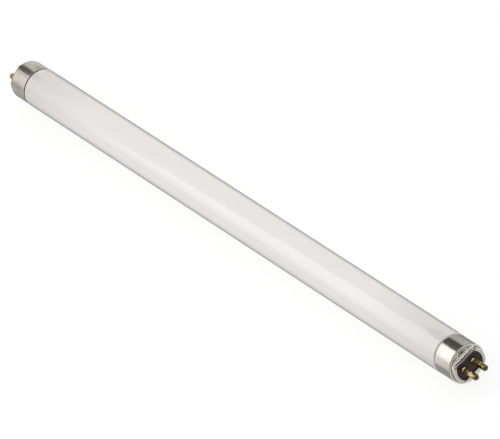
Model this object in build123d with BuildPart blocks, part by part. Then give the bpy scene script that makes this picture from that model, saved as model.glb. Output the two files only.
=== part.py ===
from build123d import *
import os

os.makedirs("parts", exist_ok=True)

# A short two-pin fluorescent tube. X runs along the tube, each pair of pins stands side by
# side along Y, and the pressed flats of the caps face up and down. Sizes are in millimetres.

# Whole lamp
face_to_face = 287.4  # over the rims of the two caps, without the pins
tube_diameter = 15.8
fit_clearance = 0.03  # between pieces that were assembled with a close fit

# Glass: one sealed bulb, necked in at each end to go inside its caps
glass_wall = 0.75
glass_end_wall = 3.0  # the fused end, which seals in the lead wires
neck_slope = 0.6  # length over which the tube narrows to go into a cap
neck_length = 5.2

# End caps, drawn from thin sheet
cap_length = 10.5  # open edge to rim
cap_wall = 0.3
cap_inset = 0.1  # how far the cap lies inside the line of the glass
cap_seam = 0.25  # groove between the open edge and the glass
shoulder_chamfer = 0.3
boss_height = 1.6
boss_inset = 0.75  # from the skirt to the two round sides of the boss
boss_width = 8.5  # across its two flats
boss_corner_radius = 1.5
rim_depth = 0.4  # the edge turned in over the insulator
rim_chamfer = 0.2
rim_width_round = 1.25  # of the rim along the round sides
rim_width_flat = 0.45  # of the rim along the flats
opening_corner_radius = 1.5
press_depth = 0.15  # the lens-shaped marks coined into the sheet beside the flats
press_lip = 0.3  # sheet left standing between a mark and the shoulder
press_tip_radius = 1.0

# Insulators
insulator_thickness = 1.4

# Contact pins, drawn from tube and riveted into the insulators
pin_spacing = 4.75
pin_diameter = 2.35
pin_reach = 7.3  # beyond the rim
pin_dome_height = 0.8
pin_collar_diameter = 3.0
pin_collar_thickness = 0.6
pin_rivet_diameter = 3.1
pin_rivet_thickness = 0.3
crimp_distance = 3.2  # from the tip of the pin to its crimp marks
crimp_punch_radius = 0.7
crimp_depth = 0.3

# Lead wires and basing cement
wire_diameter = 0.4
cement_start = 0.5  # from the open edge of the cap
cement_length = 3.6
cement_thickness = 0.35

# Places worked out from those sizes, measured out from the middle of the tube
tube_radius = tube_diameter / 2
face = face_to_face / 2
cap_edge = face - cap_length
ledge = face - boss_height
insulator_front = face - rim_depth
insulator_back = insulator_front - insulator_thickness
glass_step = cap_edge - cap_seam
glass_end = cap_edge + neck_length
hollow_end = glass_end - glass_end_wall
pin_radius = pin_diameter / 2
pin_tip = face + pin_reach
dome_radius = (pin_radius**2 + pin_dome_height**2) / (2 * pin_dome_height)
crimp = pin_tip - crimp_distance
rivet_back = insulator_back - pin_rivet_thickness
skirt_radius = tube_radius - cap_inset
ledge_radius = skirt_radius - shoulder_chamfer
boss_length = 2 * (skirt_radius - boss_inset)
opening_length = boss_length - 2 * rim_width_round
opening_width = boss_width - 2 * rim_width_flat
cement_radius = skirt_radius - cap_wall - fit_clearance
neck_radius = cement_radius - cement_thickness - fit_clearance

SIDES = (("left", -1), ("right", 1))
ROWS = (("front", -1), ("back", 1))


def end_plane(side, distance):
    """Return a plane square to the tube that faces outwards, with pins along its own x."""
    return Plane(origin=(side * distance, 0, 0), x_dir=(0, 1, 0), z_dir=(side, 0, 0))


def section_plane(side, y=0.0):
    """Return a plane through the tube's axis whose x points outwards and whose y is the radius."""
    return Plane(origin=(0, y, 0), x_dir=(side, 0, 0), z_dir=(0, -side, 0))


def double_d(plane, length, width, corner):
    """Return a round of the given length, cut by two flats, with rounded corners."""
    with BuildSketch(plane) as outline:
        Circle(length / 2)
        Rectangle(length, width, mode=Mode.INTERSECT)
        fillet(outline.vertices(), corner)
    return outline.sketch


def press_mark(plane, up):
    """Return one pressed mark: the round segment of the ledge beside a flat, with rounded tips."""
    reach = ledge_radius - press_lip
    foot = boss_width / 2
    with BuildSketch(plane) as outline:
        Circle(reach)
        with Locations((0, up * (foot + reach) / 2)):
            Rectangle(2 * reach, reach - foot, mode=Mode.INTERSECT)
        fillet(outline.vertices(), press_tip_radius)
    return outline.sketch


# Glass bulb: the outside of its section, then the sealed space within
with BuildPart() as glass_tube:
    with BuildSketch(Plane.XZ):
        with BuildLine():
            Polyline(
                (0, tube_radius),
                (glass_step - neck_slope, tube_radius),
                (glass_step, neck_radius),
                (glass_end, neck_radius),
                (glass_end, 0),
            )
            mirror(about=Plane.YZ)
            Line((-glass_end, 0), (glass_end, 0))
        make_face()
    revolve(axis=Axis.X)
    with BuildSketch(Plane.XZ):
        with BuildLine():
            Polyline(
                (0, tube_radius - glass_wall),
                (glass_step - neck_slope, tube_radius - glass_wall),
                (glass_step, neck_radius - glass_wall),
                (hollow_end, neck_radius - glass_wall),
                (hollow_end, 0),
            )
            mirror(about=Plane.YZ)
            Line((-hollow_end, 0), (hollow_end, 0))
        make_face()
    revolve(axis=Axis.X, mode=Mode.SUBTRACT)
glass_tube.part.label = "glass_tube"
export_step(glass_tube.part, "parts/glass_tube.step")

for end, side in SIDES:
    outward = Axis((0, 0, 0), (side, 0, 0))

    # Drawn cap: skirt, shoulder, double-D boss and rim, all in one thickness of sheet
    with BuildPart() as end_cap:
        with BuildSketch(section_plane(side)):
            with BuildLine():
                Polyline(
                    (cap_edge, 0),
                    (cap_edge, skirt_radius),
                    (ledge - shoulder_chamfer, skirt_radius),
                    (ledge, ledge_radius),
                    (ledge, 0),
                    close=True,
                )
            make_face()
        revolve(axis=Axis.X)
        boss = double_d(end_plane(side, ledge), boss_length, boss_width, boss_corner_radius)
        extrude(to_extrude=boss, amount=boss_height)
        chamfer(end_cap.faces().sort_by(outward)[-1].edges(), rim_chamfer)
        # The hollow, one sheet thickness inside all of that
        with BuildSketch(end_plane(side, cap_edge)):
            Circle(skirt_radius - cap_wall)
        extrude(amount=ledge - cap_wall - cap_edge, mode=Mode.SUBTRACT)
        room = double_d(
            end_plane(side, ledge - cap_wall),
            boss_length - 2 * cap_wall,
            boss_width - 2 * cap_wall,
            boss_corner_radius - cap_wall,
        )
        extrude(to_extrude=room, amount=insulator_front - ledge + cap_wall, mode=Mode.SUBTRACT)
        window = double_d(
            end_plane(side, insulator_front), opening_length, opening_width, opening_corner_radius
        )
        extrude(to_extrude=window, amount=rim_depth, mode=Mode.SUBTRACT)
        for up in (-1, 1):
            mark = press_mark(end_plane(side, ledge), up)
            extrude(to_extrude=mark, amount=-press_depth, mode=Mode.SUBTRACT)
    end_cap.part.label = f"end_cap_{end}"
    export_step(end_cap.part, f"parts/end_cap_{end}.step")

    # Insulator, a plate gripped between the flats and held by the rim
    with BuildPart() as insulator:
        plate = double_d(
            end_plane(side, insulator_back),
            boss_length - 2 * (cap_wall + fit_clearance),
            boss_width - 2 * (cap_wall + fit_clearance),
            boss_corner_radius - cap_wall - fit_clearance,
        )
        extrude(to_extrude=plate, amount=insulator_thickness)
        with BuildSketch(end_plane(side, insulator_back)):
            with GridLocations(pin_spacing, 0, 2, 1):
                Circle(pin_radius + fit_clearance)
        extrude(amount=insulator_thickness, mode=Mode.SUBTRACT)
    insulator.part.label = f"insulator_{end}"
    export_step(insulator.part, f"parts/insulator_{end}.step")

    # Cement ring between the neck of the glass and the skirt of the cap
    with BuildPart() as cement:
        with BuildSketch(end_plane(side, cap_edge + cement_start)):
            Circle(cement_radius)
            Circle(cement_radius - cement_thickness, mode=Mode.SUBTRACT)
        extrude(amount=cement_length)
    cement.part.label = f"cement_ring_{end}"
    export_step(cement.part, f"parts/cement_ring_{end}.step")

    for row, across in ROWS:
        y = across * pin_spacing / 2
        pin_axis = Axis((0, y, 0), (1, 0, 0))

        # Contact pin: rivet flare, shank through the insulator, collar, domed tip and crimp
        with BuildPart() as pin:
            with BuildSketch(section_plane(side, y)):
                with BuildLine():
                    shank = Polyline(
                        (rivet_back, 0),
                        (rivet_back, pin_rivet_diameter / 2),
                        (insulator_back, pin_rivet_diameter / 2),
                        (insulator_back, pin_radius),
                        (insulator_front, pin_radius),
                        (insulator_front, pin_collar_diameter / 2),
                        (insulator_front + pin_collar_thickness, pin_radius),
                        (pin_tip - pin_dome_height, pin_radius),
                    )
                    dome = RadiusArc(shank @ 1, (pin_tip, 0), dome_radius)
                    Line(dome @ 1, shank @ 0)
                make_face()
            revolve(axis=pin_axis)
            punch = pin_radius + crimp_punch_radius - crimp_depth
            with Locations((side * crimp, y, punch), (side * crimp, y, -punch)):
                Cylinder(crimp_punch_radius, pin_diameter, rotation=(90, 0, 0), mode=Mode.SUBTRACT)
        pin.part.label = f"pin_{end}_{row}"
        export_step(pin.part, f"parts/pin_{end}_{row}.step")

        # Lead wire, from the fused end of the glass to the back of its pin
        with BuildPart() as wire:
            with BuildSketch(end_plane(side, glass_end)):
                with Locations((y, 0)):
                    Circle(wire_diameter / 2)
            extrude(amount=rivet_back - glass_end)
        wire.part.label = f"lead_wire_{end}_{row}"
        export_step(wire.part, f"parts/lead_wire_{end}_{row}.step")
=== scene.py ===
import logging
import math
from dataclasses import dataclass
from enum import Enum
from typing import Any, NamedTuple

import bmesh
import bpy
import numpy as np
from mathutils import Matrix, Vector


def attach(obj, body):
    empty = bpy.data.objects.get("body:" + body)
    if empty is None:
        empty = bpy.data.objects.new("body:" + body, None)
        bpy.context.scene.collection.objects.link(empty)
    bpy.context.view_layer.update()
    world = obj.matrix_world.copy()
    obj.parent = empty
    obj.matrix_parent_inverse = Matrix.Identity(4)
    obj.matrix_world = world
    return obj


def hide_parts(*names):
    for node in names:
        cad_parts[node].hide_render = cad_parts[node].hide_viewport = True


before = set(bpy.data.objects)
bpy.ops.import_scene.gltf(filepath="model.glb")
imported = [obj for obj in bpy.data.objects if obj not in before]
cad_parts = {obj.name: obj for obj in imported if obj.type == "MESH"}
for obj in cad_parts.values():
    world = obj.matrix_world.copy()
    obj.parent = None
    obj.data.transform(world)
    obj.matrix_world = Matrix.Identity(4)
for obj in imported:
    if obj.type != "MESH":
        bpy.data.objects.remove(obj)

log = logging.getLogger("tube_light")
logging.basicConfig(level=logging.INFO, format="%(name)s: %(message)s")

MM = 0.001
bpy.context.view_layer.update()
ALONG = Vector((1.0, 0.0, 0.0))
QUARTER = np.radians(np.linspace(0, 90, 7))  # the steps of a rounding

Profile = list[tuple[float, float]]
Levels = tuple[tuple[float, float], ...]
Values = float | np.ndarray

# settings that many nodes share
RGBA = {"data_type": "RGBA"}
SOFT = {"interpolation_type": "SMOOTHSTEP"}
DOT = {"operation": "DOT_PRODUCT"}


class End(Enum):
    """The two ends of the tube, with the sign of their direction along X."""

    LEFT = -1
    RIGHT = 1

    def side(self) -> str:
        """Return the word that the names of this end's pieces hold."""
        return self.name.lower()


class Slot(Enum):
    """The record's material slots of the pieces that are redrawn here."""

    GLASS = "coated_glass"
    CAP = "cap_aluminium"
    PIN = "pin_brass"


class Share(Enum):
    """What a metal surface carries, kept on its mesh as a share from 0 to 1 at each point: pressing,
    painted shade, painted highlight and bare, unpolished metal.
    """

    PRESS = "press"
    CREASE = "crease"
    PAINTED_HIGHLIGHT = "painted_highlight"
    BARE = "bare"


def linear(hex_colour: str) -> tuple[float, float, float, float]:
    """Turn an sRGB hex colour into linear light.

    Args:
        hex_colour: six hex digits.

    Returns:
        Linear red, green and blue, and an alpha of one.
    """
    parts = [int(hex_colour[i : i + 2], 16) / 255 for i in (0, 2, 4)]
    light = [c / 12.92 if c <= 0.04045 else ((c + 0.055) / 1.055) ** 2.4 for c in parts]
    return light[0], light[1], light[2], 1.0


def grey(level: float) -> tuple[float, float, float, float]:
    """Return a neutral light of this level."""
    return level, level, level, 1.0


def add_node(
    tree: bpy.types.NodeTree, kind: str, settings: dict[str, Any], **inputs: Any
) -> bpy.types.Node:
    """Add one node with its settings, its values and its links.

    Args:
        tree: the node tree that gets the node.
        kind: the node's type name.
        settings: attributes of the node itself.
        inputs: values or output sockets by input name, with _ for a space, or in0, in1 for a place.

    Returns:
        The new node.
    """
    node = tree.nodes.new(kind)
    for name, value in settings.items():
        setattr(node, name, value)
    for name, value in inputs.items():
        key = int(name[2:]) if name[:2] == "in" and name[2:].isdigit() else name.replace("_", " ")
        if isinstance(value, bpy.types.NodeSocket):
            tree.links.new(value, node.inputs[key])
        else:
            node.inputs[key].default_value = value
    return node


def new_material(name: str) -> tuple[bpy.types.Material, bpy.types.NodeTree, bpy.types.NodeSocket]:
    """Start a material with nothing in it but its output.

    Args:
        name: the material's name.

    Returns:
        The material, its node tree and the surface socket of its output.
    """
    material = bpy.data.materials.new(name)
    material.use_nodes = True
    tree = material.node_tree
    tree.nodes.clear()
    output = add_node(tree, "ShaderNodeOutputMaterial", {})
    return material, tree, output.inputs["Surface"]


def set_ramp(node: bpy.types.Node, stops: Levels) -> None:
    """Give a colour ramp its stops.

    Args:
        node: the ramp.
        stops: places from 0 to 1, each with its level of grey.
    """
    ramp = node.color_ramp
    while len(ramp.elements) < len(stops):
        ramp.elements.new(1.0)
    for element, (place, level) in zip(ramp.elements, stops):
        element.position = place
        element.color = grey(level)


@dataclass(frozen=True)
class CoatedGlass:
    """Clear soda-lime glass, drawn into tube, over a baked white powder on its inside.

    The powder gives a soft, even white, darkened by painted shade towards each end. The glass gives
    a clear gloss on top of it, a grey line of painted shade where it is seen edge-on, and a slight
    waviness from the drawing.
    """

    white: str = "DED9D7"
    speck: str = "D7D2D0"
    # painted shade: the grey that the white turns to towards each end
    end_shade: str = "C8C3C1"
    # painted shade: the dark grey line where the wall is seen edge-on
    edge: str = "4E4C49"
    speck_mm: float = 9.0
    wave_mm: float = 5.0
    wave_depth_mm: float = 0.2
    end_shade_from_mm: float = 79.92
    end_shade_to_mm: float = 139.86
    gloss_roughness: float = 0.05
    gloss_ior: float = 1.6
    powder_ior: float = 1.5

    def build(self) -> bpy.types.Material:
        """Make the material.

        Returns:
            The finished material.
        """
        material, tree, surface = new_material("coated_glass_drawn")
        place = add_node(tree, "ShaderNodeTexCoord", {}).outputs["Object"]
        # the powder settles in faint clouds, drawn out along the tube
        stretched = add_node(tree, "ShaderNodeMapping", {}, Vector=place, Scale=(0.3, 1.0, 1.0))
        cloud = add_node(
            tree, "ShaderNodeTexNoise", {}, Vector=stretched.outputs["Vector"],
            Scale=1000 / self.speck_mm, Detail=4.0,
        )
        body = add_node(
            tree, "ShaderNodeMix", RGBA, Factor=cloud.outputs[0],
            in6=linear(self.white), in7=linear(self.speck),
        )
        # painted shade: the white darkens to grey over the last stretch before each cap
        split = add_node(tree, "ShaderNodeSeparateXYZ", {}, Vector=place)
        out = add_node(tree, "ShaderNodeMath", {"operation": "ABSOLUTE"}, in0=split.outputs["X"])
        end_shading = add_node(
            tree, "ShaderNodeMapRange", SOFT, Value=out.outputs[0],
            in1=self.end_shade_from_mm * MM, in2=self.end_shade_to_mm * MM, in3=0.0, in4=1.0,
        )
        ends = add_node(
            tree, "ShaderNodeMix", RGBA, Factor=end_shading.outputs[0],
            in6=body.outputs[2], in7=linear(self.end_shade),
        )
        # painted shade: where the eye looks along the clear wall edge-on, the colour turns to a dark grey
        # line
        facing = add_node(tree, "ShaderNodeLayerWeight", {}, Blend=0.5)
        rim = add_node(
            tree, "ShaderNodeMapRange", SOFT, Value=facing.outputs["Facing"],
            in1=0.62, in2=1.0, in3=0.0, in4=1.0,
        )
        colour = add_node(
            tree, "ShaderNodeMix", RGBA, Factor=rim.outputs[0], in6=ends.outputs[2], in7=linear(self.edge)
        )
        # drawing leaves long, shallow waves in the wall
        drawn = add_node(tree, "ShaderNodeMapping", {}, Vector=place, Scale=(0.12, 1.0, 1.0))
        wave = add_node(
            tree, "ShaderNodeTexNoise", {}, Vector=drawn.outputs["Vector"],
            Scale=1000 / self.wave_mm, Detail=1.0,
        )
        ripple = add_node(
            tree, "ShaderNodeBump", {}, Strength=0.06,
            Distance=self.wave_depth_mm * MM, Height=wave.outputs[0],
        )
        grain = add_node(
            tree, "ShaderNodeMapRange", {}, Value=cloud.outputs[0], in1=0.3, in2=0.7, in3=0.46, in4=0.56
        )
        shader = add_node(
            tree, "ShaderNodeBsdfPrincipled", {}, Base_Color=colour.outputs[2], Roughness=grain.outputs[0],
            IOR=self.powder_ior, Specular_IOR_Level=0.2, Coat_Weight=1.0, Coat_IOR=self.gloss_ior,
            Coat_Roughness=self.gloss_roughness, Coat_Normal=ripple.outputs[0],
        )
        tree.links.new(shader.outputs[0], surface)
        return material


@dataclass(frozen=True)
class DrawnMetal:
    """Bare metal drawn through a die: a satin mirror with fine lines along the way it was drawn.

    Real lines are finer than these, which are as coarse as they need to be to show. The mesh may
    say where painted shade darkens the metal, where a painted highlight brightens it, and where it is
    pressed rough or never polished.
    """

    name: str
    bright: str
    dull: str
    line_mm: float
    roughness: float
    roughness_spread: float
    line_height: float
    smudge_mm: float = 4.0
    line_depth_mm: float = 0.02
    shade_colour: str = ""
    highlight_colour: str = ""
    press_mm: float = 1.6
    press_height_mm: float = 0.0
    matt: float = 0.0

    def build(self) -> bpy.types.Material:
        """Make the material.

        Returns:
            The finished material.
        """
        material, tree, surface = new_material(self.name)
        place = add_node(tree, "ShaderNodeTexCoord", {}).outputs["Object"]
        drawn = add_node(tree, "ShaderNodeMapping", {}, Vector=place, Scale=(0.06, 1.0, 1.0))
        lines = add_node(
            tree, "ShaderNodeTexNoise", {}, Vector=drawn.outputs["Vector"], Scale=1000 / self.line_mm,
            Detail=6.0, Roughness=0.65,
        )
        smudge = add_node(
            tree, "ShaderNodeTexNoise", {}, Vector=place, Scale=1000 / self.smudge_mm, Detail=3.0
        )
        tone = add_node(
            tree, "ShaderNodeMapRange", {}, Value=smudge.outputs[0], in1=0.35, in2=0.7, in3=0.0, in4=1.0
        )
        colour = add_node(
            tree, "ShaderNodeMix", RGBA, Factor=tone.outputs[0],
            in6=linear(self.bright), in7=linear(self.dull),
        )
        # painted shade darkens the colour, and a painted highlight brightens it, as far as the mesh's
        # shares say
        for share, other in ((Share.CREASE, self.shade_colour), (Share.PAINTED_HIGHLIGHT, self.highlight_colour)):
            if other:
                amount = add_node(tree, "ShaderNodeAttribute", {"attribute_name": share.value})
                colour = add_node(
                    tree, "ShaderNodeMix", RGBA, Factor=amount.outputs["Fac"],
                    in6=colour.outputs[2], in7=linear(other),
                )
        gloss = add_node(
            tree, "ShaderNodeMapRange", {}, Value=lines.outputs[0], in1=0.3, in2=0.7,
            in3=self.roughness - self.roughness_spread, in4=self.roughness + self.roughness_spread,
        )
        if self.matt:
            # no contact has polished it here
            bare = add_node(tree, "ShaderNodeAttribute", {"attribute_name": Share.BARE.value})
            gloss = add_node(
                tree, "ShaderNodeMath", {"operation": "MULTIPLY_ADD"},
                in0=bare.outputs["Fac"], in1=self.matt, in2=gloss.outputs[0],
            )
        normal = add_node(
            tree, "ShaderNodeBump", {}, Strength=self.line_height, Distance=self.line_depth_mm * MM,
            Height=lines.outputs[0],
        )
        if self.press_height_mm:
            # the die left the pressed marks slightly uneven
            pressed = add_node(tree, "ShaderNodeAttribute", {"attribute_name": Share.PRESS.value})
            dimple = add_node(
                tree, "ShaderNodeTexNoise", {}, Vector=place, Scale=1000 / self.press_mm, Detail=1.0
            )
            height = add_node(
                tree, "ShaderNodeMath", {"operation": "MULTIPLY"}, in0=dimple.outputs[0],
                in1=pressed.outputs["Fac"],
            )
            normal = add_node(
                tree, "ShaderNodeBump", {}, Strength=1.0, Distance=self.press_height_mm * MM,
                Height=height.outputs[0], Normal=normal.outputs[0],
            )
        shader = add_node(
            tree, "ShaderNodeBsdfPrincipled", {}, Base_Color=colour.outputs[2], Metallic=1.0,
            Roughness=gloss.outputs[0], Normal=normal.outputs[0],
        )
        tree.links.new(shader.outputs[0], surface)
        return material


@dataclass(frozen=True)
class PressedPowder:
    """A pressed or baked mass with a fine fleck: phenolic board, or basing cement."""

    name: str
    base: str
    fleck: str
    fleck_mm: float
    roughness: float
    grain_depth_mm: float
    roughness_spread: float = 0.08

    def build(self) -> bpy.types.Material:
        """Make the material.

        Returns:
            The finished material.
        """
        material, tree, surface = new_material(self.name)
        place = add_node(tree, "ShaderNodeTexCoord", {}).outputs["Object"]
        fleck = add_node(
            tree, "ShaderNodeTexNoise", {}, Vector=place,
            Scale=1000 / self.fleck_mm, Detail=5.0, Roughness=0.7,
        )
        share = add_node(
            tree, "ShaderNodeMapRange", {}, Value=fleck.outputs[0], in1=0.42, in2=0.68, in3=0.0, in4=1.0
        )
        colour = add_node(
            tree, "ShaderNodeMix", RGBA, Factor=share.outputs[0],
            in6=linear(self.base), in7=linear(self.fleck),
        )
        gloss = add_node(
            tree, "ShaderNodeMapRange", {}, Value=fleck.outputs[0], in1=0.3, in2=0.7,
            in3=self.roughness - self.roughness_spread, in4=self.roughness + self.roughness_spread,
        )
        grain = add_node(
            tree, "ShaderNodeBump", {}, Strength=0.5,
            Distance=self.grain_depth_mm * MM, Height=fleck.outputs[0],
        )
        shader = add_node(
            tree, "ShaderNodeBsdfPrincipled", {}, Base_Color=colour.outputs[2], Roughness=gloss.outputs[0],
            Normal=grain.outputs[0], Specular_IOR_Level=0.25,
        )
        tree.links.new(shader.outputs[0], surface)
        return material


# aluminium sheet, drawn: a pale grey satin mirror, with painted highlights on its raised edges and painted
# shade in its creases
CAP_FINISH = DrawnMetal(
    name="aluminium_drawn_satin", bright="BDB9B2", dull="AAA59D", line_mm=0.35, roughness=0.2,
    roughness_spread=0.06, line_height=0.25, shade_colour="37322C", highlight_colour="EBE7DF", press_height_mm=0.006,
)
# brass, drawn: a yellow mirror, with painted shade darkening its tips, and matt near the board
PIN_FINISH = DrawnMetal(
    name="brass_drawn_bright", bright="BBA97A", dull="87764D", line_mm=0.3, roughness=0.1,
    roughness_spread=0.03, line_height=0.12, shade_colour="3E3920", matt=0.3,
)
# nickel-iron, drawn: a plain grey wire
WIRE_FINISH = DrawnMetal(
    name="nickel_iron_wire", bright="BDB8B0", dull="9A958D", line_mm=0.15, roughness=0.3,
    roughness_spread=0.06, line_height=0.3,
)
# phenolic board, pressed: near black, with a brown and plum fleck
BOARD_FINISH = PressedPowder(
    name="phenolic_board_dark", base="2A1B18", fleck="40302F", fleck_mm=0.9, roughness=0.6,
    grain_depth_mm=0.04,
)
# basing cement, baked: a buff, chalky mass
CEMENT_FINISH = PressedPowder(
    name="basing_cement_baked", base="7F6E55", fleck="6A5A44", fleck_mm=1.2, roughness=0.8,
    grain_depth_mm=0.08,
)


def link(name: str, data: bpy.types.ID) -> bpy.types.Object:
    """Put new data into the scene.

    Args:
        name: the object's name.
        data: its mesh, light or camera.

    Returns:
        The new object, at the origin.
    """
    piece = bpy.data.objects.new(name, data)
    bpy.context.scene.collection.objects.link(piece)
    return piece


def set_share(mesh: bpy.types.Mesh, share: Share, values: np.ndarray) -> None:
    """Write one share onto a mesh.

    Args:
        mesh: the mesh.
        share: which share.
        values: its value at each point, from 0 to 1.
    """
    data = mesh.attributes.new(share.value, "FLOAT", "POINT").data
    data.foreach_set("value", values.ravel().astype(np.float32))


def close(mesh: bpy.types.Mesh, sharp_degrees: float = 35.0) -> None:
    """Merge a mesh's seams, point its faces outwards and shade it smooth but for its sharp edges.

    Args:
        mesh: the mesh to finish.
        sharp_degrees: the smallest turn that shows as an edge.
    """
    work = bmesh.new()
    work.from_mesh(mesh)
    bmesh.ops.remove_doubles(work, verts=work.verts, dist=1e-7)
    bmesh.ops.dissolve_degenerate(work, edges=work.edges, dist=1e-8)
    bmesh.ops.recalc_face_normals(work, faces=work.faces)
    work.to_mesh(mesh)
    work.free()
    mesh.shade_smooth()
    mesh.set_sharp_from_angle(angle=math.radians(sharp_degrees))


def dress(piece: bpy.types.Object, slot: Slot, *nodes: str) -> None:
    """Fix a piece to the object, in place of its CAD nodes, and report it.

    Args:
        piece: the finished piece.
        slot: the record's slot of the piece, which is not used.
        nodes: the CAD nodes that it stands for.
    """
    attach(piece, "root")
    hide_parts(*nodes)
    log.info("%s: %d faces, for %s", piece.name, len(piece.data.polygons), ", ".join(nodes))


def fade(values: np.ndarray, full: float, none: float) -> np.ndarray:
    """Return shares that go evenly from 1 at one value to 0 at another."""
    return np.clip((none - values) / (none - full), 0.0, 1.0)


def bell(values: np.ndarray, width: float) -> np.ndarray:
    """Return shares that are 1 at zero and die away over about this width on both sides."""
    return np.exp(-((values / width) ** 2))


def rounded(corners: list[tuple[float, float, float]], steps: int = 6) -> Profile:
    """Round the corners of an open line.

    Args:
        corners: points along the axis and out from it, each with its radius, 0 for a sharp corner.
        steps: spans in each rounding.

    Returns:
        The points of the rounded line.
    """
    line: Profile = []
    for i, (x, r, radius) in enumerate(corners):
        here = Vector((x, r))
        if radius == 0 or i in (0, len(corners) - 1):
            line.append((x, r))
            continue
        to_last = (Vector(corners[i - 1][:2]) - here).normalized()
        to_next = (Vector(corners[i + 1][:2]) - here).normalized()
        half = to_last.angle(to_next) / 2
        middle = here + (to_last + to_next).normalized() * (radius / math.sin(half))
        first = here + to_last * (radius / math.tan(half)) - middle
        sweep = first.angle_signed(here + to_next * (radius / math.tan(half)) - middle)
        for k in range(steps + 1):
            turn = -sweep * k / steps
            line.append(tuple(middle + Matrix.Rotation(turn, 2) @ first))
    return line


class GeometryTool:
    """A Geometry Nodes tree with named inputs that runs once on a piece and leaves a plain mesh."""

    def __init__(self, name: str, inputs: dict[str, str], result: str) -> None:
        """Start the tree.

        Args:
            name: the tree's name.
            inputs: the types of its input sockets by name, one of them a Material.
            result: the name of its output.
        """
        self.tree = bpy.data.node_groups.new(name, "GeometryNodeTree")
        for socket, kind in inputs.items():
            self.tree.interface.new_socket(socket, in_out="INPUT", socket_type=kind)
        self.tree.interface.new_socket(result, in_out="OUTPUT", socket_type="NodeSocketGeometry")
        self.given = add_node(self.tree, "NodeGroupInput", {}).outputs

    def end(self, shape: bpy.types.NodeSocket) -> None:
        """End the tree: make the shape real, dress it and hand it out.

        Args:
            shape: the socket that gives the shape.
        """
        whole = add_node(self.tree, "GeometryNodeRealizeInstances", {}, Geometry=shape)
        dressed = add_node(
            self.tree, "GeometryNodeSetMaterial", {}, Geometry=whole.outputs[0],
            Material=self.given["Material"],
        )
        add_node(self.tree, "NodeGroupOutput", {}, in0=dressed.outputs[0])

    def run(self, piece: bpy.types.Object, values: dict[str, Any]) -> None:
        """Run the tree on a piece and keep its result as the piece's plain mesh.

        Args:
            piece: the object that holds the tree's starting mesh.
            values: the tree's inputs by name.
        """
        modifier = piece.modifiers.new(self.tree.name, "NODES")
        modifier.node_group = self.tree
        for item in self.tree.interface.items_tree:
            if item.in_out == "INPUT" and item.name in values:
                modifier[item.identifier] = values[item.name]
        shown = piece.evaluated_get(bpy.context.evaluated_depsgraph_get())
        mesh = bpy.data.meshes.new_from_object(shown)
        piece.modifiers.remove(modifier)
        piece.data = mesh
        close(mesh)


class Lathe(GeometryTool):
    """Turns a line round the X axis."""

    core: float = 1.0  # radius of the circle that carries the line, in millimetres

    def __init__(self) -> None:
        """Build the tree."""
        inputs = {
            "Line": "NodeSocketGeometry", "Segments": "NodeSocketInt", "Core Radius": "NodeSocketFloat",
            "Material": "NodeSocketMaterial",
        }
        super().__init__("turned_shape", inputs, "Shape")
        line = add_node(self.tree, "GeometryNodeMeshToCurve", {}, in0=self.given["Line"])
        circle = add_node(
            self.tree, "GeometryNodeCurvePrimitiveCircle", {}, Resolution=self.given["Segments"],
            Radius=self.given["Core Radius"],
        )
        skin = add_node(
            self.tree, "GeometryNodeCurveToMesh", {}, Curve=circle.outputs[0], Profile_Curve=line.outputs[0]
        )
        laid = add_node(
            self.tree, "GeometryNodeTransform", {}, Geometry=skin.outputs[0],
            Rotation=(0.0, -math.pi / 2, 0.0),
        )
        self.end(laid.outputs[0])

    def turn(
        self, name: str, line: Profile, segments: int, material: bpy.types.Material
    ) -> bpy.types.Object:
        """Turn one line into a closed piece.

        Args:
            name: the piece's name.
            line: millimetres along the axis and out from it, which begin and end on the axis.
            segments: faces round the piece.
            material: its finish.

        Returns:
            The finished piece, a plain mesh.
        """
        mesh = bpy.data.meshes.new(name)
        points = [((r - self.core) * MM, x * MM, 0.0) for x, r in line]
        mesh.from_pydata(points, [(i, i + 1) for i in range(len(points) - 1)], [])
        piece = link(name, mesh)
        self.run(piece, {"Segments": segments, "Core Radius": self.core * MM, "Material": material})
        return piece


class PairedPins(GeometryTool):
    """Stands two pins side by side on one end of the tube."""

    def __init__(self) -> None:
        """Build the tree."""
        inputs = {
            "Pin": "NodeSocketGeometry", "Spacing": "NodeSocketFloat", "Turn": "NodeSocketFloat",
            "Material": "NodeSocketMaterial",
        }
        super().__init__("paired_pins", inputs, "Pins")
        half = add_node(
            self.tree, "ShaderNodeMath", {"operation": "MULTIPLY"}, in0=self.given["Spacing"], in1=-0.5
        )
        first = add_node(self.tree, "ShaderNodeCombineXYZ", {}, Y=half.outputs[0])
        step = add_node(self.tree, "ShaderNodeCombineXYZ", {}, Y=self.given["Spacing"])
        places = add_node(
            self.tree, "GeometryNodeMeshLine", {}, Count=2, Start_Location=first.outputs[0],
            Offset=step.outputs[0],
        )
        pair = add_node(
            self.tree, "GeometryNodeInstanceOnPoints", {}, Points=places.outputs[0],
            Instance=self.given["Pin"],
        )
        turn = add_node(self.tree, "ShaderNodeCombineXYZ", {}, Z=self.given["Turn"])
        laid = add_node(
            self.tree, "GeometryNodeTransform", {}, Geometry=pair.outputs[0], Rotation=turn.outputs[0]
        )
        self.end(laid.outputs[0])


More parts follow.
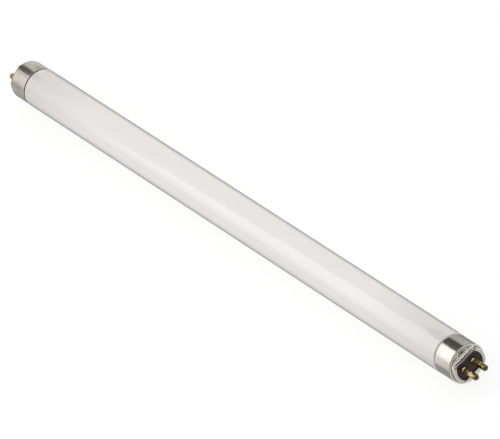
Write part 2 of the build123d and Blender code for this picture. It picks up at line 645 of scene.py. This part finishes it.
@dataclass
class GlassBulb:
    """The sealed glass tube, necked in to go inside its caps. Sizes are in millimetres."""

    radius: float = 7.9
    neck_radius: float = 7.09
    step: float = 133.05
    slope: float = 0.6
    end: float = 138.4
    shoulder_round: float = 0.35
    foot_round: float = 0.15
    neck_round: float = 0.6
    plain_before_slope: float = 2.0
    segments: int = 192
    spans: int = 24

    def line(self) -> Profile:
        """Draw the outside of the tube's section.

        Returns:
            The line from the left end to the right end.
        """
        straight = self.step - self.slope - self.plain_before_slope
        half = rounded(
            [
                (0.0, self.radius, 0.0),
                (straight, self.radius, 0.0),
                (self.step - self.slope, self.radius, self.shoulder_round),
                (self.step, self.neck_radius, self.foot_round),
                (self.end, self.neck_radius, self.neck_round),
                (self.end, 0.0, 0.0),
            ]
        )
        along = [(straight * k / self.spans, self.radius) for k in range(1, self.spans)]
        half = half[:1] + along + half[1:]
        return [(-x, r) for x, r in reversed(half)] + half[1:]

    def build(self, lathe: Lathe, finish: CoatedGlass) -> None:
        """Turn the bulb and fix it to the object."""
        bulb = lathe.turn("glass_bulb", self.line(), self.segments, finish.build())
        dress(bulb, Slot.GLASS, "glass_tube")


@dataclass(frozen=True)
class DoubleD:
    """A round cut by two flats, with rounded corners, measured out from the tube's axis in millimetres."""

    reach: float
    flat: float
    corner: float
    least_corner: float = 0.05

    def grown(self, by: float) -> "DoubleD":
        """Return the outline that lies this far outside."""
        return DoubleD(self.reach + by, self.flat + by, max(self.corner + by, self.least_corner))

    def at(self, angle: np.ndarray) -> np.ndarray:
        """Give the outline's distance from the axis.

        Args:
            angle: angles round the axis, from +Y towards +Z.

        Returns:
            The distance at each angle.
        """
        across, up = np.abs(np.cos(angle)), np.abs(np.sin(angle))
        centre_up = self.flat - self.corner
        centre_across = math.sqrt((self.reach - self.corner) ** 2 - centre_up**2)
        turn = np.arctan2(up, across)
        first, last = math.atan2(centre_up, centre_across), math.atan2(self.flat, centre_across)
        along = across * centre_across + up * centre_up
        inside = along**2 - centre_across**2 - centre_up**2 + self.corner**2
        on_corner = along + np.sqrt(np.maximum(inside, 0.0))
        on_flat = self.flat / np.maximum(up, 1e-6)
        return np.where(turn <= first, self.reach, np.where(turn >= last, on_flat, on_corner))


class Ring(NamedTuple):
    """One ring of a cap's skin: its place along the axis, its distance from it, and its shares."""

    x: Values
    r: Values
    press: Values = 0.0
    crease: Values = 0.0
    painted_highlight: Values = 0.0


@dataclass
class EndCap:
    """One drawn cap: skirt, shoulder, boss with two flats, turned-in rim and two pressed marks.

    Sizes are in millimetres. How much painted shade and painted highlight the metal carries is a share from
    0 to 1.
    """

    end: End
    boss: DoubleD = DoubleD(7.05, 4.25, 1.5)
    opening: DoubleD = DoubleD(5.8, 3.8, 1.5)
    edge: float = 133.2
    face: float = 143.7
    ledge: float = 142.1
    skirt: float = 7.8
    wall: float = 0.3
    plate: float = 143.3
    plate_gap: float = 0.005
    # roundings
    edge_round: float = 0.08
    shoulder_round: float = 0.4
    foot_round: float = 0.25
    flat_lean: float = 0.22
    rim_round: float = 0.28
    lip_round: float = 0.1
    # pressed marks, each with a bead round it and dimples at its bottom
    press_depth: float = 0.06
    press_lip: float = 0.15
    press_foot: float = 0.3
    press_slope: float = 0.3
    press_soft: float = 0.5
    press_bead: float = 0.03
    bead_out: float = 0.08
    bead_width: float = 0.13
    bead_foot: float = 0.1
    dimple_depth: float = 0.016
    dimple_ripple: float = 0.006
    # painted highlights, and how far they reach
    bead_highlight: float = 0.3
    tip_reach: float = 4.5
    border_highlight: float = 0.9
    border: float = 0.25
    foot_highlight: float = 0.9
    wall_highlight: float = 0.6
    highlight_up: float = 0.45
    rim_highlight: float = 0.2
    # painted shade, and how far it reaches
    shoulder_shade: float = 0.8
    foot_painted_shade: float = 0.9
    foot_shade: float = 0.11
    fold_shade: float = 0.7
    rim_shade: float = 0.62
    shade_up: float = 0.75
    # distances below a flat over which the flat, and the painted shade of its rim, fade out round the
    # corners
    flat_fade: tuple[float, float] = (0.05, 0.25)
    shade_fade: tuple[float, float] = (0.1, 0.45)
    # mesh
    skirt_plain: float = 0.25
    skirt_rings: int = 6
    ledge_rings: int = 23
    segments: int = 360
    sharp_degrees: float = 50.0

    def angles(self) -> np.ndarray:
        """Return the angles of the cap's segments, from +Y towards +Z."""
        return np.linspace(0.0, 2 * math.pi, self.segments, endpoint=False)

    def side(self, up: float) -> DoubleD:
        """Return the boss's outline at a height over the ledge, with flats that lean in a little."""
        lean = self.flat_lean * (1 - up / (self.face - self.ledge))
        return DoubleD(self.boss.reach, self.boss.flat + lean, self.boss.corner)

    def flat_shares(self) -> tuple[np.ndarray, np.ndarray]:
        """Tell the flats of the boss from its round sides.

        Returns:
            The share of flat at each angle, and the painted shade of the rim, which is darkest along a
            flat.
        """
        angle = self.angles()
        below = self.boss.flat - self.boss.at(angle) * np.abs(np.sin(angle))
        return fade(below, *self.flat_fade), self.rim_shade * fade(below, *self.shade_fade)

    def press(self, across: np.ndarray, up: np.ndarray) -> tuple[np.ndarray, np.ndarray, np.ndarray]:
        """Shape the lens-shaped marks on the ledge.

        Args:
            across: places along Y.
            up: places along Z.

        Returns:
            How far the ledge moves outwards there, and the shares of pressed metal and of painted
            highlight.
        """
        from_foot = np.abs(up) - self.boss.flat - self.flat_lean - self.foot_round
        from_flat = from_foot - self.press_foot
        from_edge = self.skirt - self.shoulder_round - self.press_lip - np.hypot(across, up)
        # the nearer of the two borders counts, with a soft change between them at the tips
        blend = np.clip(0.5 + 0.5 * (from_edge - from_flat) / self.press_soft, 0.0, 1.0)
        inside = from_edge * (1 - blend) + from_flat * blend - self.press_soft * blend * (1 - blend)
        step = fade(inside, self.press_slope, 0.0)
        mark = step * step * (3 - 2 * step)
        # the metal pushed out stands as a bead round the mark
        ring = bell(inside + self.bead_out, self.bead_width) * fade(from_foot, self.bead_foot, 0.0)
        # the tool left shallow dimples at the bottom of the mark, in waves of 1.5 to 2.4 mm
        dimple = self.dimple_depth * np.sin(2.6 * across + 0.7) * np.sin(4.3 * up + 1.9)
        dimple += self.dimple_ripple * np.sin(4.3 * across - 3.7 * up)
        # painted highlight on the bead, stronger towards the tips of the mark, and on the border along the
        # boss
        tips = self.bead_highlight + (1 - self.bead_highlight) * np.minimum(np.abs(across) / self.tip_reach, 1.0) ** 2
        border = self.border_highlight * bell(np.maximum(from_foot - self.border, 0.0), self.border)
        move = self.press_bead * ring - mark * (self.press_depth + dimple)
        return move, mark, np.maximum(tips * ring, border)

    def lay_skirt(self) -> list[Ring]:
        """Lay the skirt, from its open edge over the shoulder.

        Returns:
            The rings, with a cut edge that is broken on the outside and darkened by painted shade, and a
            line of painted shade where the shoulder begins.
        """
        # painted shade on the cut edge and the first half of its rounding
        rings = [Ring(self.edge, self.skirt - self.wall, crease=1.0)]
        for a in QUARTER:
            x = self.edge + self.edge_round * (1 - math.cos(a))
            r = self.skirt - self.edge_round * (1 - math.sin(a))
            rings.append(Ring(x, r, crease=max(math.cos(2 * a), 0.0)))
        top, inner = self.ledge - self.shoulder_round, self.skirt - self.shoulder_round
        first, last = self.edge + self.skirt_plain, top - self.skirt_plain
        rings += [Ring(x, self.skirt) for x in np.linspace(first, last, self.skirt_rings)]
        # painted shade: a dark line along the start of the shoulder
        for k, a in enumerate(QUARTER):
            x, r = top + self.shoulder_round * math.sin(a), inner + self.shoulder_round * math.cos(a)
            rings.append(Ring(x, r, crease=self.shoulder_shade if k < 2 else 0.0))
        return rings

    def lay_ledge(self) -> list[Ring]:
        """Lay the ledge, from the shoulder to the foot of the boss, with the marks pressed into it.

        Returns:
            The rings, with painted shade at the foot of the round sides and painted highlights on the
            marks' beads and along the boss.
        """
        angle, (on_flat, _) = self.angles(), self.flat_shares()
        inner = self.skirt - self.shoulder_round
        foot = self.side(0.0).grown(self.foot_round).at(angle)
        rings: list[Ring] = []
        for share in np.linspace(0, 1, self.ledge_rings + 2)[1:-1]:
            r = inner + (foot - inner) * share
            move, mark, painted_highlight = self.press(r * np.cos(angle), r * np.sin(angle))
            # painted shade in the corner at the foot of the round sides
            crease = self.foot_painted_shade * (1 - on_flat) * bell(r - foot, self.foot_shade)
            rings.append(Ring(self.ledge + move, r, mark, crease, painted_highlight))
        return rings

    def lay_boss(self) -> list[Ring]:
        """Lay the wall of the boss, from its foot to the edge of the rim.

        Returns:
            The rings: along the flats the foot and lower wall carry a painted highlight and the upper wall
                and rim painted shade; the foot of the round sides carries painted shade, and their rim a
                faint painted highlight.
        """
        angle, (on_flat, dull) = self.angles(), self.flat_shares()
        rings: list[Ring] = []
        for a in QUARTER:
            up = self.foot_round * (1 - math.cos(a))
            out = self.side(up).grown(self.foot_round * (1 - math.sin(a))).at(angle)
            # painted shade in the corner at the foot of the round sides, painted highlight along the flats
            crease = self.foot_painted_shade * math.cos(a) * (1 - on_flat)
            rings.append(Ring(self.ledge + up, out, crease=crease, painted_highlight=self.foot_highlight * on_flat))
        # painted highlight on the lower wall of the flats, painted shade on their upper wall
        low, high = self.side(self.highlight_up).at(angle), self.side(self.shade_up).at(angle)
        rings.append(Ring(self.ledge + self.highlight_up, low, painted_highlight=self.wall_highlight * on_flat))
        rings.append(Ring(self.ledge + self.shade_up, high, crease=dull))
        for a in QUARTER:
            up = self.face - self.ledge - self.rim_round * (1 - math.sin(a))
            out = self.side(up).grown(-self.rim_round * (1 - math.cos(a))).at(angle)
            # a faint painted highlight on the rim's rounding along the round sides
            painted_highlight = self.rim_highlight * math.sin(2 * a) * (1 - on_flat)
            rings.append(Ring(self.ledge + up, out, crease=dull, painted_highlight=painted_highlight))
        return rings

    def lay_rim(self) -> list[Ring]:
        """Lay the rim, turned in to the opening.

        Returns:
            The rings, with a line of painted shade along the fold, and painted shade on the rim along the
            flats.
        """
        angle, (_, dull) = self.angles(), self.flat_shares()
        outer = self.boss.grown(-self.rim_round).at(angle)
        lip = self.opening.grown(self.lip_round).at(angle)
        rings: list[Ring] = []
        # shares of the way in to the opening, each with the painted shade of the fold line
        for share, line in ((0.26, 0.0), (0.38, self.fold_shade), (0.5, 0.0), (0.75, 0.0)):
            rings.append(Ring(self.face, outer + (lip - outer) * share, crease=np.maximum(line, dull)))
        for a in QUARTER:
            out = self.opening.grown(self.lip_round * (1 - math.sin(a))).at(angle)
            rings.append(Ring(self.face - self.lip_round * (1 - math.cos(a)), out, crease=dull))
        return rings

    def lay_inside(self) -> list[Ring]:
        """Lay the inside of the sheet, back from the opening to the skirt.

        Returns:
            The rings, the last of which meets the first ring of the skirt.
        """
        angle = self.angles()
        room = self.boss.grown(-self.wall).at(angle)
        over_plate, under_ledge = self.plate + self.plate_gap, self.ledge - self.wall
        # painted shade on the inner edge of the opening
        return [
            Ring(over_plate, self.opening.at(angle), crease=1.0),
            Ring(over_plate, room),
            Ring(under_ledge, room),
            Ring(under_ledge, self.skirt - self.wall),
        ]

    def build(self, finish: bpy.types.Material) -> None:
        """Make the cap and fix it to the object.

        Args:
            finish: the cap's material.
        """
        rings = self.lay_skirt() + self.lay_ledge() + self.lay_boss() + self.lay_rim() + self.lay_inside()
        count, segments, angle = len(rings), self.segments, self.angles()
        x, r, press, crease, painted_highlight = (
            np.array([ring[i] * np.ones(segments) for ring in rings]) for i in range(len(Ring._fields))
        )
        points = np.stack([self.end.value * x, r * np.cos(angle), r * np.sin(angle)], axis=2) * MM
        faces = [
            (
                i * segments + j,
                i * segments + (j + 1) % segments,
                (i + 1) % count * segments + (j + 1) % segments,
                (i + 1) % count * segments + j,
            )
            for i in range(count)
            for j in range(segments)
        ]
        name = f"cap_shell_{self.end.side()}"
        mesh = bpy.data.meshes.new(name)
        mesh.from_pydata(points.reshape(-1, 3).tolist(), [], faces)
        for share, values in ((Share.PRESS, press), (Share.CREASE, crease), (Share.PAINTED_HIGHLIGHT, painted_highlight)):
            set_share(mesh, share, values)
        mesh.materials.append(finish)
        close(mesh, self.sharp_degrees)
        dress(link(name, mesh), Slot.CAP, f"end_cap_{self.end.side()}")


@dataclass
class ContactPins:
    """The two brass pins of each end, drawn, riveted into the board and crimped, in millimetres."""

    radius: float = 1.175
    spacing: float = 4.75
    rivet_back: float = 141.6
    rivet: float = 1.55
    rivet_round: float = 0.12
    board_back: float = 141.9
    board_front: float = 143.3
    board_gap: float = 0.005
    collar: float = 1.5
    collar_length: float = 0.6
    collar_round: float = 0.1
    collar_foot_round: float = 0.5
    tip: float = 151.0
    dome: float = 1.1
    dome_spans: int = 16
    crimp: float = 147.8
    punch: float = 0.6
    crimp_depth: float = 0.2
    crimp_margin: float = 0.2
    crimp_spans: int = 28
    tip_shade_from: float = 149.3
    tip_shade_over: float = 1.0
    tip_shade_most: float = 0.8
    bare_to: float = 147.4
    bare_over: float = 0.8
    segments: int = 96

    def collar_end(self) -> float:
        """Return where the collar runs out into the shank."""
        return self.board_front + self.collar_length

    def line(self) -> Profile:
        """Draw the outside of a pin's section.

        Returns:
            The line from its riveted back to its tip.
        """
        reach, seat = self.punch + self.crimp_margin, self.board_front + self.board_gap
        body = rounded(
            [
                (self.rivet_back, 0.0, 0.0),
                (self.rivet_back, self.rivet, self.rivet_round),
                (self.board_back, self.rivet, 0.0),
                (self.board_back, self.radius, 0.0),
                (seat, self.radius, 0.0),
                (seat, self.collar, self.collar_round),
                (self.collar_end(), self.radius, self.collar_foot_round),
                (self.crimp - reach, self.radius, 0.0),
            ]
        )
        # short spans where the crimp is pressed in
        step = 2 * reach / self.crimp_spans
        body += [(self.crimp - reach + step * k, self.radius) for k in range(1, self.crimp_spans + 1)]
        # domed tip, which runs smoothly out of the shank
        for k in range(self.dome_spans + 1):
            a = math.radians(90 * k / self.dome_spans)
            body.append((self.tip - self.dome + self.dome * math.sin(a), self.radius * math.cos(a)))
        return body

    def squeeze(self, mesh: bpy.types.Mesh) -> None:
        """Press the two crimp marks into a pin.

        Args:
            mesh: the mesh of a pin that lies on the axis.
        """
        depth = self.radius + self.punch - self.crimp_depth
        for vertex in mesh.vertices:
            x, _, z = vertex.co / MM
            off = abs(x - self.crimp)
            if off < self.punch:
                limit = depth - math.sqrt(self.punch**2 - off**2)
                vertex.co.z = math.copysign(min(abs(z), limit), z) * MM

    def shade_tip_and_dull_shank(self, mesh: bpy.types.Mesh) -> None:
        """Darken the tip of a pin with painted shade, and leave its shank unpolished near the board.

        Args:
            mesh: the mesh of a pin that lies on the axis.
        """
        x = np.array([vertex.co.x / MM for vertex in mesh.vertices])
        # painted shade on the domed tip
        tip_shade = fade(x, self.tip_shade_from + self.tip_shade_over, self.tip_shade_from)
        set_share(mesh, Share.CREASE, np.minimum(tip_shade, self.tip_shade_most))
        bare = fade(x, self.bare_to - self.bare_over, self.bare_to)
        set_share(mesh, Share.BARE, np.where(x > self.collar_end(), bare, 0.0))

    def build(self, lathe: Lathe, pairs: PairedPins, finish: bpy.types.Material) -> None:
        """Turn one pin, crimp it, stand it in pairs on both ends and fix them to the object.

        Args:
            lathe: the tool that turns a line.
            pairs: the tool that stands two pins on an end.
            finish: the pins' material.
        """
        pin = lathe.turn("one_pin", self.line(), self.segments, finish)
        self.squeeze(pin.data)
        close(pin.data)
        self.shade_tip_and_dull_shank(pin.data)
        for end in End:
            piece = link(f"contact_pins_{end.side()}", pin.data.copy())
            turn = 0.0 if end is End.RIGHT else math.pi
            pairs.run(piece, {"Spacing": self.spacing * MM, "Turn": turn, "Material": finish})
            dress(piece, Slot.PIN, f"pin_{end.side()}_front", f"pin_{end.side()}_back")
        bpy.data.objects.remove(pin)


@dataclass
class HiddenFittings:
    """The pieces whose CAD shape is already right: boards, cement and lead wires."""

    insulator: PressedPowder = BOARD_FINISH
    cement_ring: PressedPowder = CEMENT_FINISH
    lead_wire: DrawnMetal = WIRE_FINISH

    def dress(self) -> None:
        """Give each of these CAD nodes its finish."""
        finishes = {
            "insulator": self.insulator.build(),
            "cement_ring": self.cement_ring.build(),
            "lead_wire": self.lead_wire.build(),
        }
        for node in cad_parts:
            for start, finish in finishes.items():
                if node.startswith(start):
                    for place in bpy.data.objects[node].material_slots:
                        place.material = finish
                    log.info("%s: CAD node, %s", node, finish.name)


@dataclass
class Viewpoint:
    """Where the camera stands, from the tube's length, its two ends and its thickness in the picture.

    The camera's own axes run right, down and forward. Lengths are in millimetres.
    """

    focal_px: float = 6129.88
    width_px: float = 500.0
    sensor_width: float = 36.0
    middle: tuple[float, float, float] = (-4.6038, -1.6030, 2286.937)
    to_far_end: tuple[float, float, float] = (-0.577069, -0.373545, 0.726262)
    roll_degrees: float = 16.0

    def axes(self) -> np.ndarray:
        """Turn the tube's axes into the camera's.

        Returns:
            The tube's X, Y and Z axes as rows, in the camera's axes.
        """
        far = np.array(self.to_far_end)
        towards = np.array([0.0, 0.0, -1.0]) + far[2] * far
        towards /= np.linalg.norm(towards)
        aside = np.cross(towards, -far)
        roll = math.radians(self.roll_degrees)
        up = math.cos(roll) * towards + math.sin(roll) * aside
        across = -math.sin(roll) * towards + math.cos(roll) * aside
        return np.stack([-far, across, up])

    def towards(self) -> Vector:
        """Return the direction square to the tube that leans most towards the camera."""
        roll = math.radians(self.roll_degrees)
        return Vector((0.0, -math.sin(roll), math.cos(roll)))

    def aside(self) -> Vector:
        """Return the direction square to the tube and to the line of sight."""
        roll = math.radians(self.roll_degrees)
        return Vector((0.0, math.cos(roll), math.sin(roll)))

    def lean(self) -> tuple[float, float]:
        """Return the shares of the line of sight along the tube and square to it."""
        sight = self.to_far_end[2]
        return sight, math.sqrt(1 - sight**2)

    def place_camera(self) -> None:
        """Set up the camera."""
        axes = self.axes()
        lens = bpy.data.cameras.new("camera")
        lens.sensor_fit = "HORIZONTAL"
        lens.sensor_width = self.sensor_width
        lens.lens = self.focal_px * self.sensor_width / self.width_px
        lens.clip_start, lens.clip_end = 0.1, 20.0
        camera = link("camera", lens)
        right, down, forward = axes[:, 0], axes[:, 1], axes[:, 2]
        stand = -axes @ np.array(self.middle) * MM
        turn = np.stack([right, -down, -forward], axis=1)
        camera.matrix_world = Matrix.Translation(Vector(stand)) @ Matrix(turn.tolist()).to_4x4()
        bpy.context.scene.camera = camera


@dataclass(frozen=True)
class TableLaminate:
    """White laminate, pressed: an even matt ground, lit until it is nearly white."""

    base: str = "5B5B5A"
    cloud: str = "585857"
    cloud_mm: float = 25.0
    roughness: float = 0.6
    glow: float = 0.87

    def build(self) -> bpy.types.Material:
        """Make the material.

        Returns:
            The finished material.
        """
        material, tree, surface = new_material("table_white_laminate")
        place = add_node(tree, "ShaderNodeTexCoord", {}).outputs["Object"]
        cloud = add_node(
            tree, "ShaderNodeTexNoise", {}, Vector=place, Scale=1000 / self.cloud_mm, Detail=3.0
        )
        colour = add_node(
            tree, "ShaderNodeMix", RGBA, Factor=cloud.outputs[0],
            in6=linear(self.base), in7=linear(self.cloud),
        )
        shader = add_node(
            tree, "ShaderNodeBsdfPrincipled", {}, Base_Color=colour.outputs[2], Roughness=self.roughness,
            Specular_IOR_Level=0.2, Emission_Color=linear("FFFFFF"), Emission_Strength=self.glow,
        )
        tree.links.new(shader.outputs[0], surface)
        return material


@dataclass(frozen=True)
class ReflectedCard:
    """A small matt card beside one cap, which shows only as a band along it.

    It hangs where the cap reflects the camera's sight: from first to last along the tube, in
    millimetres, and from low to high round it, in degrees from the camera's side.
    """

    name: str
    stuff: str
    first: float
    last: float
    low: float
    high: float
    level: float
    tint: str = "FFFEFD"

    def build(self) -> bpy.types.Material:
        """Make the card's material, which gives an even light whatever falls on it.

        Returns:
            The finished material.
        """
        material, tree, surface = new_material(f"{self.stuff}_{self.name}")
        shader = add_node(tree, "ShaderNodeEmission", {}, Color=linear(self.tint), Strength=self.level)
        tree.links.new(shader.outputs[0], surface)
        return material

    def hang(self, view: Viewpoint, skirt: float, distance: float) -> None:
        """Hang the card where the cap reflects it, out of the camera's sight.

        Args:
            view: where the camera stands.
            skirt: the cap's radius in millimetres.
            distance: how far from the cap the card hangs, in millimetres.
        """
        towards, aside, (sight, lean) = view.towards(), view.aside(), view.lean()
        points = []
        for degrees in (self.low, self.high):
            a = math.radians(degrees)
            out = towards * math.cos(a) + aside * math.sin(a)
            foot = towards * math.cos(a / 2) + aside * math.sin(a / 2)
            spot = foot * skirt + out * (lean * distance) - ALONG * (sight * distance)
            points += [(spot + ALONG * self.first) * MM, (spot + ALONG * self.last) * MM]
        mesh = bpy.data.meshes.new(self.name)
        mesh.from_pydata(points, [], [(0, 1, 3, 2)])
        mesh.materials.append(self.build())
        card = link(self.name, mesh)
        card.visible_camera = card.visible_diffuse = card.visible_shadow = False


CARDS = (
    ReflectedCard("flag_right", "black_felt", 130.0, 158.0, 22.0, 73.0, 0.079),
    ReflectedCard("flag_left", "black_felt", -153.0, -129.0, 21.0, 57.0, 0.079),
    ReflectedCard("card_right_low", "white_paper", 130.0, 158.0, -84.0, -61.0, 1.4),
    ReflectedCard("card_right_foot", "grey_paper", 130.0, 158.0, -136.0, -99.0, 0.5),
    ReflectedCard("card_left_low", "grey_paper", -153.0, -129.0, -115.0, -58.0, 0.72),
    ReflectedCard("card_left_top", "white_paper", -153.0, -129.0, 68.0, 150.0, 1.05),
)


@dataclass
class Studio:
    """A pale table in a white tent that is open in front, with a window, a strip light and cards.

    Lengths are in metres but for the table's height and the cards, which are in millimetres. The
    tent's levels go by degrees round the tube, from the camera's side.
    """

    view: Viewpoint
    table_top: float = -7.9
    table_size: float = 6.0
    card_distance: float = 60.0
    cap_radius: float = 7.8
    back_levels: Levels = (
        (-180, 0.3), (-120, 0.6), (-85, 1.15), (-65, 0.9), (-35, 1.25), (-15, 1.35), (5, 1.2), (25, 0.95),
        (50, 0.85), (110, 0.75), (140, 0.42), (180, 0.3),
    )
    side_levels: Levels = (
        (-180, 0.8), (-90, 1.2), (-30, 1.5), (30, 2.0), (90, 1.9), (140, 1.2), (180, 0.8),
    )
    room_level: float = 0.6
    camera_level: float = 0.15
    floor_level: float = 1.15
    window_size: tuple[float, float] = (1.15, 0.40)
    window_after: float = 0.35
    window_height: float = 0.30
    window_along: float = -0.319
    window_edge: tuple[float, float] = (0.625, 0.78)
    window_radiance: float = 0.97
    window_fade: Levels = ((0.0, 0.0), (0.37, 0.45), (0.6, 1.0), (1.0, 1.0))
    strip_size: tuple[float, float] = (0.09, 0.4)
    strip_along: float = 0.145
    strip_height: float = 0.3
    strip_radiance: float = 0.6

    def lay_table(self) -> None:
        """Lay the table that the tube lies on."""
        half, top = self.table_size / 2, self.table_top * MM
        corners = [(-half, -half, top), (half, -half, top), (half, half, top), (-half, half, top)]
        mesh = bpy.data.meshes.new("table")
        mesh.from_pydata(corners, [], [(0, 1, 2, 3)])
        mesh.materials.append(TableLaminate().build())
        table = link("table", mesh)
        table.visible_glossy = False

    def tent(self, tree: bpy.types.NodeTree, way: bpy.types.NodeSocket) -> bpy.types.NodeSocket:
        """Light the tent behind the tube and beside it.

        Args:
            tree: the world's node tree.
            way: the direction that is looked in.

        Returns:
            The light from that direction.
        """
        over = add_node(tree, "ShaderNodeVectorMath", DOT, in0=way, in1=self.view.towards())
        side = add_node(tree, "ShaderNodeVectorMath", DOT, in0=way, in1=self.view.aside())
        turn = add_node(
            tree, "ShaderNodeMath", {"operation": "ARCTAN2"}, in0=side.outputs["Value"],
            in1=over.outputs["Value"],
        )
        place = add_node(
            tree, "ShaderNodeMapRange", {}, Value=turn.outputs[0],
            in1=-math.pi, in2=math.pi, in3=0.0, in4=1.0,
        )
        back, sides = (add_node(tree, "ShaderNodeValToRGB", {}, Fac=place.outputs[0]) for _ in range(2))
        for ramp, levels in ((back, self.back_levels), (sides, self.side_levels)):
            set_ramp(ramp, tuple(((degrees + 180) / 360, level) for degrees, level in levels))
        part = add_node(tree, "ShaderNodeSeparateXYZ", {}, Vector=way)
        beside = add_node(
            tree, "ShaderNodeMapRange", SOFT, Value=part.outputs["X"], in1=-0.5, in2=-0.25, in3=0.0, in4=1.0
        )
        return add_node(
            tree, "ShaderNodeMix", RGBA, Factor=beside.outputs[0], in6=back.outputs[0], in7=sides.outputs[0]
        ).outputs[2]

    def front(self, tree: bpy.types.NodeTree, way: bpy.types.NodeSocket) -> bpy.types.NodeSocket:
        """Light the open front of the tent: a dark camera in a grey room, over a lit floor.

        Args:
            tree: the world's node tree.
            way: the direction that is looked in.

        Returns:
            The light from that direction.
        """
        sight, lean = self.view.lean()
        to_camera = ALONG * sight + self.view.towards() * lean
        near = add_node(tree, "ShaderNodeVectorMath", DOT, in0=way, in1=to_camera)
        camera = add_node(
            tree, "ShaderNodeMapRange", SOFT, Value=near.outputs["Value"],
            in1=0.8, in2=0.93, in3=0.0, in4=1.0,
        )
        room = add_node(
            tree, "ShaderNodeMix", RGBA, Factor=camera.outputs[0], in6=grey(self.room_level),
            in7=grey(self.camera_level),
        )
        part = add_node(tree, "ShaderNodeSeparateXYZ", {}, Vector=way)
        under = add_node(
            tree, "ShaderNodeMapRange", SOFT, Value=part.outputs["Z"], in1=0.0, in2=-0.12, in3=0.0, in4=1.0
        )
        return add_node(
            tree, "ShaderNodeMix", RGBA, Factor=under.outputs[0],
            in6=room.outputs[2], in7=grey(self.floor_level),
        ).outputs[2]

    def hang_tent(self) -> None:
        """Light the tube from the tent all round it."""
        world = bpy.data.worlds.new("soft_studio")
        bpy.context.scene.world = world
        world.use_nodes = True
        tree = world.node_tree
        tree.nodes.clear()
        way = add_node(tree, "ShaderNodeTexCoord", {}).outputs["Generated"]
        part = add_node(tree, "ShaderNodeSeparateXYZ", {}, Vector=way)
        ahead = add_node(
            tree, "ShaderNodeMapRange", SOFT, Value=part.outputs["X"], in1=0.15, in2=0.4, in3=0.0, in4=1.0
        )
        around = add_node(
            tree, "ShaderNodeMix", RGBA, Factor=ahead.outputs[0], in6=self.tent(tree, way),
            in7=self.front(tree, way),
        )
        light = add_node(tree, "ShaderNodeBackground", {}, Color=around.outputs[2], Strength=1.0)
        add_node(tree, "ShaderNodeOutputWorld", {}, Surface=light.outputs[0])

    def hang_light(
        self, name: str, size: tuple[float, float], radiance: float, middle: Vector, edge: Vector
    ) -> bpy.types.Light:
        """Hang a flat light over the tube that shows only as a highlight.

        Args:
            name: the light's name.
            size: its length and width.
            radiance: how bright its face is.
            middle: where its middle hangs.
            edge: the direction of its length.

        Returns:
            The light's data.
        """
        lamp = bpy.data.lights.new(name, "AREA")
        lamp.shape = "RECTANGLE"
        lamp.size, lamp.size_y = size
        lamp.energy = math.pi * lamp.size * lamp.size_y * radiance
        light = link(name, lamp)
        up = self.view.towards()
        turn = Matrix((edge, up.cross(edge), up)).transposed().to_4x4()
        light.matrix_world = Matrix.Translation(middle) @ turn
        light.visible_camera = light.visible_diffuse = False
        return lamp

    def open_window(self) -> None:
        """Open the large window that shows as a bright band along the glass and fades at its far end."""
        towards, aside = self.view.towards(), self.view.aside()
        length, width = self.window_size
        edge = (ALONG * self.window_edge[0] + aside * self.window_edge[1]).normalized()
        corner = ALONG * self.window_along + towards * self.window_height
        middle = corner + edge * (self.window_after - length / 2) + edge.cross(towards) * (width / 2)
        lamp = self.hang_light("window", self.window_size, self.window_radiance, middle, edge)
        lamp.use_nodes = True
        tree = lamp.node_tree
        tree.nodes.clear()
        place = add_node(tree, "ShaderNodeNewGeometry", {}).outputs["Parametric"]
        split = add_node(tree, "ShaderNodeSeparateXYZ", {}, Vector=place)
        dimming = add_node(tree, "ShaderNodeValToRGB", {}, Fac=split.outputs["X"])
        set_ramp(dimming, self.window_fade)
        glow = add_node(tree, "ShaderNodeEmission", {}, Color=dimming.outputs[0], Strength=1.0)
        add_node(tree, "ShaderNodeOutputLight", {}, Surface=glow.outputs[0])

    def hang_strip(self) -> None:
        """Hang the strip light that shows as thin lines on the rounded edges of the right cap."""
        middle = ALONG * self.strip_along + self.view.towards() * self.strip_height
        self.hang_light("strip", self.strip_size, self.strip_radiance, middle, ALONG)

    def build(self) -> None:
        """Set up the table, the light and the camera."""
        self.lay_table()
        for card in CARDS:
            card.hang(self.view, self.cap_radius, self.card_distance)
        self.hang_tent()
        self.open_window()
        self.hang_strip()
        self.view.place_camera()
        bpy.context.scene.view_settings.view_transform = "Standard"


def main() -> None:
    """Build the tube piece by piece, then the studio round it."""
    lathe, pairs = Lathe(), PairedPins()
    GlassBulb().build(lathe, CoatedGlass())
    aluminium, brass = CAP_FINISH.build(), PIN_FINISH.build()
    for end in End:
        EndCap(end).build(aluminium)
    ContactPins().build(lathe, pairs, brass)
    HiddenFittings().dress()
    Studio(Viewpoint()).build()


if __name__ == "__main__":
    main()
